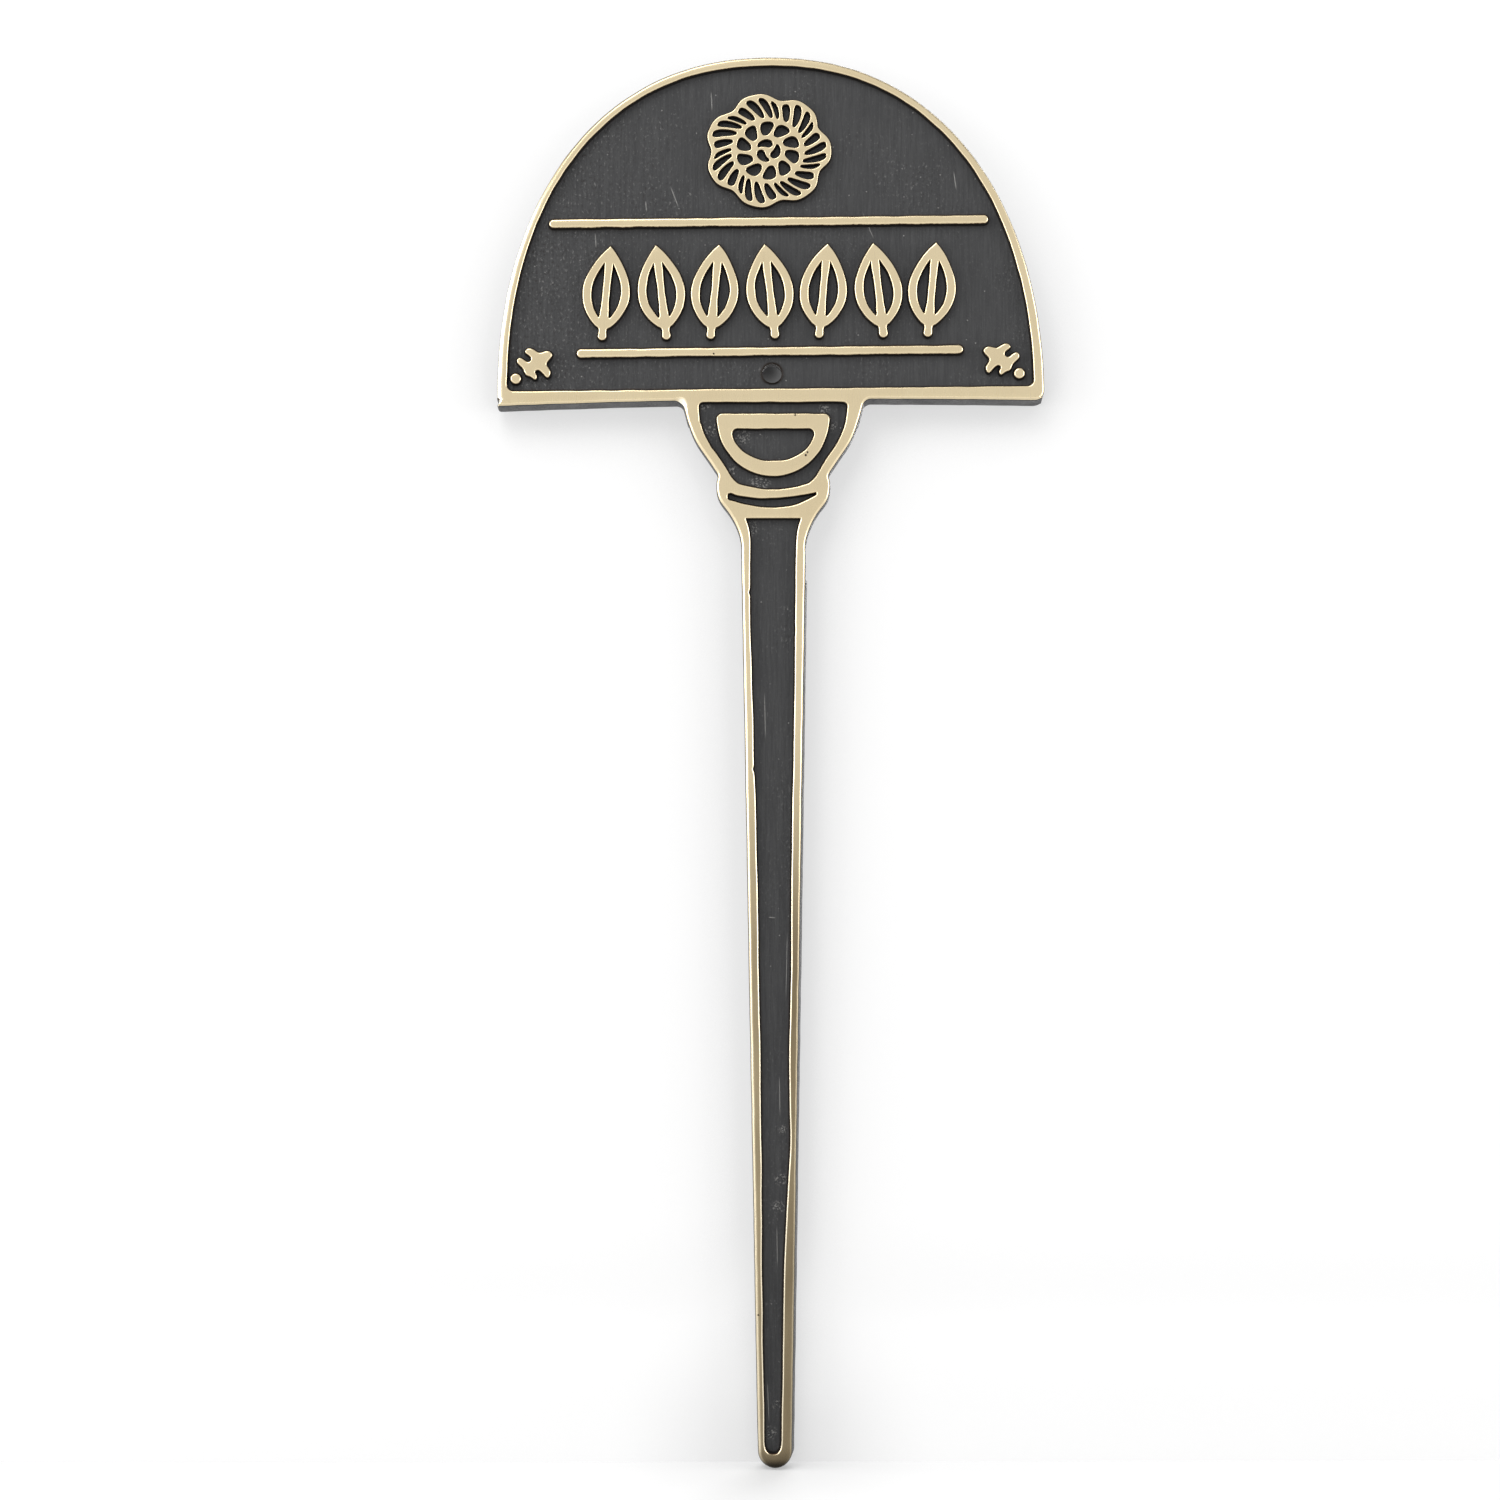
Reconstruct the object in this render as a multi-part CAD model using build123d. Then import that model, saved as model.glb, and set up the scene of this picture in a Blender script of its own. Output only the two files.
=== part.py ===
from build123d import *
import math
import os

# Plant marker on a stake: one drafted brass casting, polished on its raised faces, with black enamel
# in its recesses and over its back and edges. Millimetres. +Z runs up the stake to the head, +X is
# the reader's right, and the face looks along -Y. The origin is under the tip, at mid thickness.

# Whole part
overall_height = 254.0
thickness = 4.8
relief_depth = 1.25
enamel_film = 0.12
wall_draft = 0.30
face_round = 0.25
bare_edge = 0.45
cut_overrun = 1.0

# Head, measured from the middle of its base line
head_height = 61.3
head_base_bow = 0.7
head_half_width = 49.15
head_power = 2.2
head_lean = 0.5
head_corner_radius = 0.8
head_outline_spans = 24

# Rim of the head and the recess inside it
rim_side = 1.8
rim_top = 1.5
rim_bottom = 1.9
recess_power = 2.24
recess_corner_radius = 1.2

# Bars across the head, their heights as shares of the head's height
upper_bar_share = 0.52
lower_bar_share = 0.14
bar_width = 1.6
upper_bar_end_gap = 2.2
lower_bar_end_gap = 2.9

# Screw hole, its height as a share of the ground between the base rim and the lower bar
screw_hole_x = 0.3
screw_hole_share = 0.48
screw_hole_radius = 1.8

# Row of leaves between the bars. Ring and rib are shares of the leaf's half width, and the cells
# start and end at shares of its length.
leaf_count = 7
leaf_row_inset = 0.6
leaf_gap = 1.25
leaf_foot_gap = 1.45
leaf_top_gap = 3.2
leaf_stem_width = 1.5
leaf_stem_length = 1.5
leaf_tilt = 6.0
leaf_ring_share = 0.376
leaf_rib_share = 0.306
leaf_belly_power = 0.86
leaf_fullness_power = 0.85
leaf_cell_shares = (0.17, 0.79)
leaf_outline_spans = 9

# Leafy rosette between the upper bar and the top rim. Shares are of its half height.
rosette_foot_gap = 2.1
rosette_top_gap = 5.4
rosette_width_share = 1.11
rosette_stroke_share = 0.082
rosette_vein_share = 0.066
rosette_lobes = 7
rosette_cells_per_lobe = 4
rosette_inner_leaves = 5
rosette_cells_per_inner_leaf = 2
rosette_heart_cells = 3
rosette_scallop_share = 0.055
rosette_notch_share = 0.014
rosette_outer_ring_share = 0.61
rosette_inner_ring_shares = (0.29, 0.52)
rosette_heart_shares = (0.07, 0.20)
rosette_swirl = 0.6
rosette_heart_swirl = 5.0
rosette_outline_points = 84

# Five-lobed ivy leaf and dot in each lower corner of the head, the right ones mirrored. Insets are
# from the sides of the recess, and the outline's points are shares of the leaf's reach.
left_ivy_inset = 5.45
right_ivy_inset = 6.25
ivy_height = 6.8
ivy_reach = 3.5
ivy_outline_shares = (
    (-0.55, 0.67), (-0.40, 0.77), (-0.21, 0.73), (0.15, 0.55), (0.60, 0.62), (0.77, 0.46),
    (0.68, 0.25), (0.48, -0.04), (0.63, -0.34), (0.64, -0.57), (0.55, -0.69), (0.40, -0.57),
    (0.23, -0.40), (0.04, -0.31), (-0.10, -0.40), (-0.03, -0.65), (-0.07, -0.79), (-0.29, -0.67),
    (-0.53, -0.57), (-0.65, -0.34), (-0.84, -0.10), (-1.00, 0.15), (-0.93, 0.28), (-0.69, 0.21),
    (-0.42, 0.08), (-0.27, 0.21), (-0.38, 0.44),
)
left_dot_inset = 1.65
right_dot_inset = 2.65
dot_height = 4.15
dot_radius = 0.95

# Neck, from its root inside the head's rim down to the top of the stake. Each row of shares is a
# half width as a share of the root's and a drop below the head as a share of the neck's height.
# The bell's rows are shoulder, cheek, side and waist, and the collar's rows start at its widest.
neck_root_half_width = 16.6
neck_height = 27.7
neck_bell_shares = ((0.925, 0.134), (0.813, 0.296), (0.684, 0.408), (0.593, 0.498))
neck_collar_shares = ((0.611, 0.574), (0.578, 0.657), (0.488, 0.733), (0.389, 0.841))
root_fillet = 1.2

# Stake, which stands a little to the right of the head's middle, and the channel between its rails.
# Each row of rail_shares is a height as a share of the stake's top, then the widths of the left and
# the right rail there as shares of rail_width. rail_end_shares are those widths at the channel's end.
stake_shift = 0.45
stake_top_half_width = 5.7
stake_tip_radius = 3.0
rail_width = 1.6
rail_shares = (
    (1.00, 1.00, 1.05), (0.84, 0.92, 0.98), (0.68, 1.09, 1.00), (0.51, 1.09, 0.89), (0.40, 1.05, 0.85),
    (0.35, 1.00, 0.71), (0.30, 0.94, 0.90), (0.24, 0.85, 1.12), (0.13, 0.76, 1.16),
)
rail_end_shares = (0.74, 1.16)
channel_top_rise = 6.25
channel_mouth_rail = 0.75
channel_shoulder_rail = 1.4
channel_mouth_depth = 2.1
channel_end_radius = 0.9
tip_wall = 2.4

# Recess in the neck and the half-moon ring that stands in it
neck_rim = 2.25
neck_recess_top_gap = 0.55
neck_recess_flare = 0.2
neck_recess_corner_radius = 0.8
neck_recess_foot_inset = 1.3
neck_recess_foot_depth = 1.3
neck_recess_bottom_depth = 2.4
moon_top_gap = 2.05
moon_side_gap = 2.95
moon_bottom_gap = 2.4
moon_power = 2.1
moon_ring = 2.7
moon_corner_radius = 1.0
moon_outline_spans = 8

# Groove in the collar, sagging to the middle
groove_tilt = 1.9
groove_end_gap = 2.35
groove_drop = 1.3
groove_end_width = 0.5
groove_upper_sag = 0.7
groove_lower_sag = 2.1

# Soft-cornered enamel cells
cell_power = 2.8
cell_points = 20

edge_stand_off = wall_draft + enamel_film
head_base_z = overall_height - edge_stand_off - head_height
head_foot_z = head_base_z - head_base_bow
head_rise = head_height + head_base_bow
neck_root_z = head_base_z + rim_bottom / 2
tip_centre_z = stake_tip_radius + edge_stand_off
channel_end_z = edge_stand_off + tip_wall
stake_top_z = head_base_z - neck_height
recess_half_width = head_half_width - rim_side
recess_rise = head_rise - rim_top
upper_bar_z = head_base_z + upper_bar_share * head_height
lower_bar_z = head_base_z + lower_bar_share * head_height
face_level = thickness / 2
floor_level = face_level - relief_depth
outward = (0, -1, 0)


def level_plane(level):
    """Drawing plane at a distance in front of mid thickness, with local x to +X and local y to +Z."""
    return Plane.XZ.offset(level)


def raised(sketch, level, height):
    """Solid that stands on a drawing at a level and grows towards the reader."""
    return extrude(level_plane(level) * sketch, amount=height, dir=outward)


def leaned(sketch):
    """The head, with all that is drawn on it, leans a little over the neck."""
    return Pos(0, head_base_z) * Rot(0, 0, head_lean) * Pos(0, -head_base_z) * sketch


def shifted(sketch):
    """The neck and the stake, with all that is drawn on them, stand a little to the right."""
    return Pos(stake_shift, 0) * sketch


def superellipse_point(half_width, rise, power, angle):
    across = math.cos(angle)
    up = math.sin(angle)
    x = math.copysign(half_width * abs(across) ** (2 / power), across)
    y = math.copysign(rise * abs(up) ** (2 / power), up)
    return x, y


def closed_face(points):
    return make_face(Spline(*points, periodic=True))


def mirrored_face(right_edges):
    """Face between edges on the right of x = 0 and their mirror images."""
    left_edges = [mirror(edge, about=Plane.YZ) for edge in right_edges]
    return make_face(right_edges + left_edges)


def arch(half_width, foot_z, rise, power, floor_z):
    """Superellipse arch over foot_z, from its right foot at the height floor_z to its left foot."""
    first = math.asin(((floor_z - foot_z) / rise) ** (power / 2))
    step = (math.pi - 2 * first) / head_outline_spans
    angles = [first + step * i for i in range(head_outline_spans + 1)]
    corners = [superellipse_point(half_width, rise, power, angle) for angle in angles]
    return Spline(*[(x, foot_z + y) for x, y in corners])


def recess_half_width_at(z):
    """Half width of the head's recess at a height."""
    share = (z - head_foot_z) / recess_rise
    return recess_half_width * (1 - share ** recess_power) ** (1 / recess_power)


def lower_bar_half_length():
    return recess_half_width - right_ivy_inset - ivy_reach - lower_bar_end_gap


# Outer outlines, each grown outward by a distance

def neck_stations(shares):
    """Half widths and heights of rows of the neck."""
    return [(neck_root_half_width * width, head_base_z - neck_height * drop) for width, drop in shares]


def grown_stations(by):
    """Half widths and heights from the neck's root to the tip, moved out."""
    stations = [(neck_root_half_width, neck_root_z)]
    stations += neck_stations(neck_bell_shares) + neck_stations(neck_collar_shares)
    stations += [(stake_top_half_width, stake_top_z), (stake_tip_radius, tip_centre_z)]
    above = [stations[0]] + stations[:-1]
    below = stations[1:] + [stations[-1]]
    grown = []
    for (half_width, z), high, low in zip(stations, above, below):
        slope = (high[0] - low[0]) / (high[1] - low[1])
        grown.append((half_width + by * math.hypot(1, slope), z))
    return grown


def head_outline(by):
    foot_z = head_foot_z - by
    top = arch(head_half_width + by, foot_z, head_rise + 2 * by, head_power, foot_z)
    base = ThreePointArc(top @ 1, (0, head_base_z - by), top @ 0)
    return leaned(make_face([top, base]))


def stake_outline(by):
    stations = grown_stations(by)
    waist = len(neck_bell_shares)
    top = stations[-2]
    tip = stations[-1]
    tip_bottom = (0, tip_centre_z - stake_tip_radius - by)
    return shifted(mirrored_face([
        Line((0, neck_root_z), stations[0]),
        Spline(*stations[:waist + 1]),
        Spline(*stations[waist:-1]),
        Line(top, tip),
        RadiusArc(tip, tip_bottom, tip[0]),
    ]))


def drafted(outline, by, back_level):
    """Body whose outline is wall_draft larger at its back than at its face."""
    back = level_plane(back_level) * outline(by + wall_draft)
    face = level_plane(face_level) * outline(by)
    return loft([back, face], ruled=True)


def blank(by, back_level):
    """The marker with plain faces, grown outward by a distance."""
    body = drafted(head_outline, by, back_level) + drafted(stake_outline, by, back_level)
    corners = upright_edges(body, head_half_width)
    body = fillet(corners, head_corner_radius)
    roots = upright_edges(body, neck_root_half_width)
    return fillet(roots, root_fillet)


def upright_edges(body, half_width):
    """Edges through the thickness that lie at the head's base line, at a half width from the middle."""
    def at_corner(edge):
        centre = edge.center()
        beside = abs(abs(centre.X) - half_width) < rim_side
        level = abs(centre.Z - head_base_z) < rim_bottom
        return beside and level and abs(edge.tangent_at(0).Y) > abs(edge.tangent_at(0).X)
    return body.edges().filter_by(at_corner)


# Raised shapes on the head

def leaf_pitch():
    return 2 * (lower_bar_half_length() - leaf_row_inset) / leaf_count


def leaf_half_width():
    return (leaf_pitch() - leaf_gap) / 2


def leaf_base_z():
    return lower_bar_z + bar_width / 2 + leaf_foot_gap + leaf_stem_length


def leaf_length():
    return upper_bar_z - bar_width / 2 - leaf_top_gap - leaf_base_z()


def leaf_edge(share):
    """Half width of a leaf at a share of its length from the stem."""
    return leaf_half_width() * math.sin(math.pi * share ** leaf_belly_power) ** leaf_fullness_power


def leaf_outline():
    shares = [i / leaf_outline_spans for i in range(leaf_outline_spans)]
    side = [(leaf_edge(share), share * leaf_length()) for share in shares]
    blade = mirrored_face([Spline(*side, (0, leaf_length()))])
    stem_reach = leaf_stem_length + leaf_cell_shares[0] * leaf_length()
    stem = SlotOverall(stem_reach, leaf_stem_width, rotation=90)
    return blade + Pos(0, stem_reach / 2 - leaf_stem_length) * stem


def leaf_cell(side):
    low, high = leaf_cell_shares

    def place(u, v):
        share = (low + high) / 2 + v * (high - low) / 2
        inner = leaf_half_width() * leaf_rib_share / 2
        outer = leaf_edge(share) - leaf_half_width() * leaf_ring_share
        return side * (inner + (outer - inner) * (1 + u) / 2), share * leaf_length()

    return soft_cell(place)


def soft_cell(place):
    """Closed soft-cornered outline: place(u, v) maps the square from -1 to 1 onto the cell."""
    turn = 2 * math.pi / cell_points
    corners = [superellipse_point(1, 1, cell_power, turn * i) for i in range(cell_points)]
    return closed_face([place(u, v) for u, v in corners])


def leaf_places():
    middle = (leaf_count - 1) / 2
    centre_z = leaf_base_z() + leaf_length() / 2
    places = []
    for i in range(leaf_count):
        tilt = leaf_tilt if i % 2 else -leaf_tilt
        spot = Pos((i - middle) * leaf_pitch(), centre_z) * Rot(0, 0, tilt) * Pos(0, -leaf_length() / 2)
        places.append(spot)
    return places


def leaf_outlines():
    leaf = leaf_outline()
    return [leaned(place * leaf) for place in leaf_places()]


def leaf_cells():
    """For each leaf, its two cells, one each side of the rib."""
    halves = [leaf_cell(-1), leaf_cell(1)]
    return [[leaned(place * half) for half in halves] for place in leaf_places()]


def rosette_half_height():
    room = head_foot_z + recess_rise - upper_bar_z - bar_width / 2
    return (room - rosette_foot_gap - rosette_top_gap) / 2


def rosette_edge(angle):
    lobe = rosette_scallop_share * math.cos(rosette_lobes * angle)
    notch = rosette_notch_share * math.cos(2 * rosette_lobes * angle)
    return 1 + lobe - notch


def rosette_point(share, angle):
    centre_z = upper_bar_z + bar_width / 2 + rosette_foot_gap + rosette_half_height()
    x = rosette_half_height() * rosette_width_share * share * math.cos(angle)
    return x, centre_z + rosette_half_height() * share * math.sin(angle)


def rosette_outline():
    turn = 2 * math.pi / rosette_outline_points
    angles = [turn * i for i in range(rosette_outline_points)]
    return leaned(closed_face([rosette_point(rosette_edge(angle), angle) for angle in angles]))


def ring_cells(leaves, cells, inner, outer_at, swirl):
    """Cells of a ring of leaves: for each leaf, the cells between its border lines and veins."""
    sector = 2 * math.pi / leaves
    rows = []
    for leaf in range(leaves):
        row = []
        for cell in range(cells):
            low = sector * (leaf - 1 / 2 + cell / cells)
            high = low + sector / cells
            low_gap = (rosette_vein_share if cell > 0 else rosette_stroke_share) / 2
            high_gap = (rosette_vein_share if cell < cells - 1 else rosette_stroke_share) / 2

            def place(u, v):
                middle = (low + high) / 2
                share = inner + (outer_at(middle) - inner) * (1 + v) / 2
                start = low + low_gap / share
                stop = high - high_gap / share
                angle = start + (stop - start) * (1 + u) / 2
                edge = inner + (outer_at(angle) - inner) * (1 + v) / 2
                return rosette_point(edge, angle + swirl * (edge - outer_at(angle)))

            row.append(leaned(soft_cell(place)))
        rows.append(row)
    return rows


def rosette_outer_cells():
    return ring_cells(rosette_lobes, rosette_cells_per_lobe, rosette_outer_ring_share,
                      lambda angle: rosette_edge(angle) - rosette_stroke_share, rosette_swirl)


def rosette_inner_cells():
    inner, outer = rosette_inner_ring_shares
    rows = ring_cells(rosette_inner_leaves, rosette_cells_per_inner_leaf, inner,
                      lambda angle: outer, -rosette_swirl)
    return [cell for row in rows for cell in row]


def rosette_heart_faces():
    inner, outer = rosette_heart_shares
    rows = ring_cells(rosette_heart_cells, 1, inner, lambda angle: outer, rosette_heart_swirl)
    return [cell for row in rows for cell in row]


def bars():
    upper_half_length = recess_half_width_at(upper_bar_z) - upper_bar_end_gap
    upper = Pos(0, upper_bar_z) * SlotOverall(2 * upper_half_length, bar_width)
    lower = Pos(0, lower_bar_z) * SlotOverall(2 * lower_bar_half_length(), bar_width)
    return [leaned(upper), leaned(lower)]


def corner_ornaments():
    ivy = closed_face([(ivy_reach * x, ivy_reach * y) for x, y in ivy_outline_shares])
    dot = Circle(dot_radius)
    shapes = [
        Pos(left_ivy_inset - recess_half_width, head_base_z + ivy_height) * ivy,
        Pos(recess_half_width - right_ivy_inset, head_base_z + ivy_height) * mirror(ivy, about=Plane.YZ),
        Pos(left_dot_inset - recess_half_width, head_base_z + dot_height) * dot,
        Pos(recess_half_width - right_dot_inset, head_base_z + dot_height) * dot,
    ]
    return [leaned(shape) for shape in shapes]


# Recesses

def head_recess():
    """Sunk ground of the head, with every raised shape left standing in it."""
    top = arch(recess_half_width, head_foot_z, recess_rise, recess_power, head_base_z + rim_bottom)
    ground = make_face([top, Line(top @ 1, top @ 0)])
    ground = leaned(fillet(ground.vertices(), recess_corner_radius))
    return ground - bars() - leaf_outlines() - rosette_outline() - corner_ornaments()


def screw_hole():
    rim_z = head_base_z + rim_bottom
    z = rim_z + screw_hole_share * (lower_bar_z - bar_width / 2 - rim_z)
    return leaned(Pos(screw_hole_x, z) * Circle(screw_hole_radius))


def moon_face(half_width, top_z, drop):
    angles = [math.pi / 2 * i / moon_outline_spans for i in range(moon_outline_spans + 1)]
    sides = [superellipse_point(half_width, drop, moon_power, angle) for angle in angles]
    right = [(x, top_z - y) for x, y in sides]
    left = [(-x, z) for x, z in reversed(right[:-1])]
    face = make_face([Spline(*right, *left), Line(left[-1], right[0])])
    return fillet(face.vertices(), moon_corner_radius)


def half_moon_size():
    """Half width, top height and drop of the half-moon ring, from the recess around it."""
    shoulder_half_width, _ = neck_stations(neck_bell_shares)[0]
    half_width = shoulder_half_width - neck_rim - moon_side_gap
    top_z = head_base_z - neck_recess_top_gap - moon_top_gap
    return half_width, top_z, top_z - neck_recess_bottom_z() - moon_bottom_gap


def half_moon():
    return moon_face(*half_moon_size())


def half_moon_hollow():
    half_width, top_z, drop = half_moon_size()
    return shifted(moon_face(half_width - moon_ring, top_z - moon_ring, drop - 2 * moon_ring))


def neck_recess_bottom_z():
    _, waist_z = neck_stations(neck_bell_shares)[-1]
    return waist_z - neck_recess_bottom_depth


def neck_recess():
    sides = [(half_width - neck_rim, z) for half_width, z in neck_stations(neck_bell_shares)]
    top = (sides[0][0] + neck_recess_flare, head_base_z - neck_recess_top_gap)
    foot = (sides[-1][0] - neck_recess_foot_inset, sides[-1][1] - neck_recess_foot_depth)
    side = Spline(top, *sides, foot)
    left_foot = (-foot[0], foot[1])
    floor = ThreePointArc(foot, (0, neck_recess_bottom_z()), left_foot)
    face = make_face([side, mirror(side, about=Plane.YZ), Line((-top[0], top[1]), top), floor])
    corners = face.vertices().sort_by(Axis.Y)[-2:]
    return shifted(fillet(corners, neck_recess_corner_radius) - half_moon())


def collar_groove():
    collar_half_width, collar_z = neck_stations(neck_collar_shares)[0]
    half_width = collar_half_width - groove_end_gap
    end_z = groove_end_width / 2
    edges = []
    for side_z, sag in ((end_z, groove_upper_sag), (-end_z, groove_lower_sag)):
        edges.append(ThreePointArc((-half_width, side_z), (0, -sag), (half_width, side_z)))
    upper, lower = edges
    edges += [Line(upper @ end, lower @ end) for end in (0, 1)]
    return shifted(Pos(0, collar_z - groove_drop) * Rot(0, 0, groove_tilt) * make_face(edges))


def channel_side(side):
    """Edge of the channel along the left (side -1) or the right (side 1) rail, from its mouth down."""
    mouth_z = stake_top_z + channel_top_rise
    points = [
        (side * (stake_top_half_width - channel_mouth_rail), mouth_z),
        (side * (stake_top_half_width - channel_shoulder_rail), mouth_z - channel_mouth_depth),
    ]
    rows = rail_shares + ((channel_end_z / stake_top_z, *rail_end_shares),)
    for height, left, right in rows:
        z = height * stake_top_z
        taper = (z - tip_centre_z) / (stake_top_z - tip_centre_z)
        half_width = stake_tip_radius + (stake_top_half_width - stake_tip_radius) * taper
        rail = rail_width * (left if side < 0 else right)
        points.append((side * (half_width - rail), z))
    return Spline(*points)


def stake_channel():
    left = channel_side(-1)
    right = channel_side(1)
    face = make_face([left, right, Line(left @ 0, right @ 0), Line(left @ 1, right @ 1)])
    end_corners = face.vertices().sort_by(Axis.Y)[:2]
    return shifted(fillet(end_corners, channel_end_radius))


def recesses():
    """Every sunk field of the face: its node's name and the separate faces that are sunk."""
    fields = {
        "head_ground_enamel": [head_recess()],
        "neck_recess_enamel": [neck_recess()],
        "half_moon_enamel": [half_moon_hollow()],
        "collar_groove_enamel": [collar_groove()],
        "stake_channel_enamel": [stake_channel()],
        "rosette_inner_ring_enamel": rosette_inner_cells(),
        "rosette_heart_enamel": rosette_heart_faces(),
    }
    for i, cells in enumerate(leaf_cells(), start=1):
        fields[f"leaf_{i}_enamel"] = cells
    for i, cells in enumerate(rosette_outer_cells(), start=1):
        fields[f"rosette_lobe_{i}_enamel"] = cells
    return fields


# Solids

def hole_cutter():
    return raised(screw_hole(), -face_level - cut_overrun, thickness + 2 * cut_overrun)


def brass_casting(fields):
    body = blank(0, enamel_film - face_level)
    face_edge = body.faces().sort_by(Axis.Y)[0].outer_wire().edges()
    body = fillet(face_edge, face_round)
    faces = [face for field in fields.values() for face in field]
    pockets = [raised(face, floor_level, relief_depth + cut_overrun) for face in faces]
    return body - pockets - hole_cutter()


def back_and_edge_enamel():
    shell = blank(enamel_film, -face_level) - blank(0, enamel_film - face_level)
    bare = level_plane(face_level - bare_edge) * Rectangle(
        2 * overall_height, 2 * (overall_height + cut_overrun))
    return shell - extrude(bare, amount=bare_edge + cut_overrun, dir=outward) - hole_cutter()


def enamel(name, faces):
    films = [raised(face, floor_level, enamel_film) for face in faces]
    if name == "head_ground_enamel":
        films = [film - hole_cutter() for film in films]
    return Compound(children=films) if len(films) > 1 else films[0]


def main():
    fields = recesses()
    nodes = {"brass_casting": brass_casting(fields), "back_and_edge_enamel": back_and_edge_enamel()}
    for name, faces in fields.items():
        nodes[name] = enamel(name, faces)
    os.makedirs("parts", exist_ok=True)
    for name, solid in nodes.items():
        export_step(solid, f"parts/{name}.step")


main()
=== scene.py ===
import math

import bmesh
import bpy
import numpy as np
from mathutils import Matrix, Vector, noise
from mathutils.geometry import delaunay_2d_cdt

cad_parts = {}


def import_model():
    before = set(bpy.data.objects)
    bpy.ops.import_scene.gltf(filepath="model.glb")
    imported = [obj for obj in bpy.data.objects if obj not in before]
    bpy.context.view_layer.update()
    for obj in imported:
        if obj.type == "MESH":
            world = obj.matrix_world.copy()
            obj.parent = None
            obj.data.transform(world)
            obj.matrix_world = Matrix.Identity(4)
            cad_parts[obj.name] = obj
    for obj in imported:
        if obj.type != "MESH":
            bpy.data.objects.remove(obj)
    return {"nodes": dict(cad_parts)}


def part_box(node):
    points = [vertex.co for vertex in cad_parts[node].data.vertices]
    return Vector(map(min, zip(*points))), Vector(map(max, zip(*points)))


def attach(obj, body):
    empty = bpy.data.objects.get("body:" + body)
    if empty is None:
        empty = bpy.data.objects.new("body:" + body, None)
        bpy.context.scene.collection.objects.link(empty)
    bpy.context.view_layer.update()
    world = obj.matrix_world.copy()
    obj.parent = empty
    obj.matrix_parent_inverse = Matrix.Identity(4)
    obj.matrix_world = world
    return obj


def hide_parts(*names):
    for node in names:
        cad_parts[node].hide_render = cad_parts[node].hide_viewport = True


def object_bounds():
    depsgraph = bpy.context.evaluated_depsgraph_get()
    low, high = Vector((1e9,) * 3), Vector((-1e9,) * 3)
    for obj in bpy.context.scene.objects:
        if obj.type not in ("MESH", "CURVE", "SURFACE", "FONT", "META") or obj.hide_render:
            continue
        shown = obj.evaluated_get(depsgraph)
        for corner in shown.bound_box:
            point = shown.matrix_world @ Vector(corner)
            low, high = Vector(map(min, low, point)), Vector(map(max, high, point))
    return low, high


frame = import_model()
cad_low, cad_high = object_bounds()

# Cast brass plant marker. Every outline is read from the frame's enamel nodes, and the brass is
# built again between them with polished, rounded edges, drafted walls and paint that climbs them.
# Outline work is in millimetres in the plane of the face (x, z), and meshes are in metres.

MM = 0.001
PER_METRE = 1000
BODY = "root"

# Levels along y, in millimetres: the face looks along -y
FACE_Y = PER_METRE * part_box("brass_casting")[0].y
BACK_Y = PER_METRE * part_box("back_and_edge_enamel")[1].y
FILM_Y = PER_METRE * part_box("head_ground_enamel")[0].y
FLOOR_Y = PER_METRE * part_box("head_ground_enamel")[1].y
COAT_FRONT_Y = PER_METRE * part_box("back_and_edge_enamel")[0].y
PAINT_THICK = FLOOR_Y - FILM_Y
CASTING_BACK_Y = BACK_Y - PAINT_THICK

# Heights where something changes, in millimetres from the tip
HEAD_FOOT = PER_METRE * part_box("head_ground_enamel")[0].z - 2.0
UNDER_HEAD = HEAD_FOOT - 4.0
TOP = PER_METRE * cad_high.z
NECK_FOOT, TIP_TOP = 160.0, 6.0

# How far the side wall slopes out by the back: everywhere, then more or less on some sides
SIDE_DRAFT, RIGHT_DRAFT, LEFT_DRAFT, BASE_DRAFT = 0.12, 0.10, -0.08, 0.38
STAKE_DRAFT, TIP_DRAFT = 0.26, 0.22
DRAFT_ROOM = 0.30

# Outline sampling
DIGITS = 3
CORNER_TURN = math.radians(60)
COARSE_STEP, FINE_STEP, CELL_STEP = 0.25, 0.16, 0.1
STEADY_SPAN = 4
CROSSED = 0.985
ROOM_SHARE = 0.42
SLIM_SHARE = 0.75
LEVEL_SLACK, FLAT_ENOUGH = 0.01, 0.9

# Mesh repair
WELD = 0.002
SMALL_HOLE_SIDES = 10
CAP_EPSILON = 1e-9
NORMAL_WEIGHT = 100

# Rounded edges and the feet of walls
OUTER_ROUND, INNER_ROUND, BACK_ROUND = 0.40, 0.30, 0.34
BAR_ROUND, LEAF_ROUND, ROSETTE_ROUND = 0.42, 0.28, 0.16
IVY_ROUND, DOT_ROUND, MOON_ROUND = 0.32, 0.50, 0.24
ROUND_STEPS = 5
FOOT_FLARE, FOOT_SINK = 0.30, 0.05
BORE_CHAMFER, BORE_EDGE = 0.08, 0.04

# The left outer edge is filed broader, by shares at heights. Its brightness there is a painted
# highlight, with painted shade near the top
FILED_AND_LIT_HEIGHTS = (0.0, 92.0, 120.0, 160.0, 172.0, HEAD_FOOT - 2.0, HEAD_FOOT, 226.0, 238.0)
FILED_AND_LIT_SHARES = (0.50, 0.40, 0.40, 0.42, 0.25, 0.25, 1.35, 1.0, 0.1)
FILED_REACH, FILED_DEPTH = 0.55, 0.40
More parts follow.
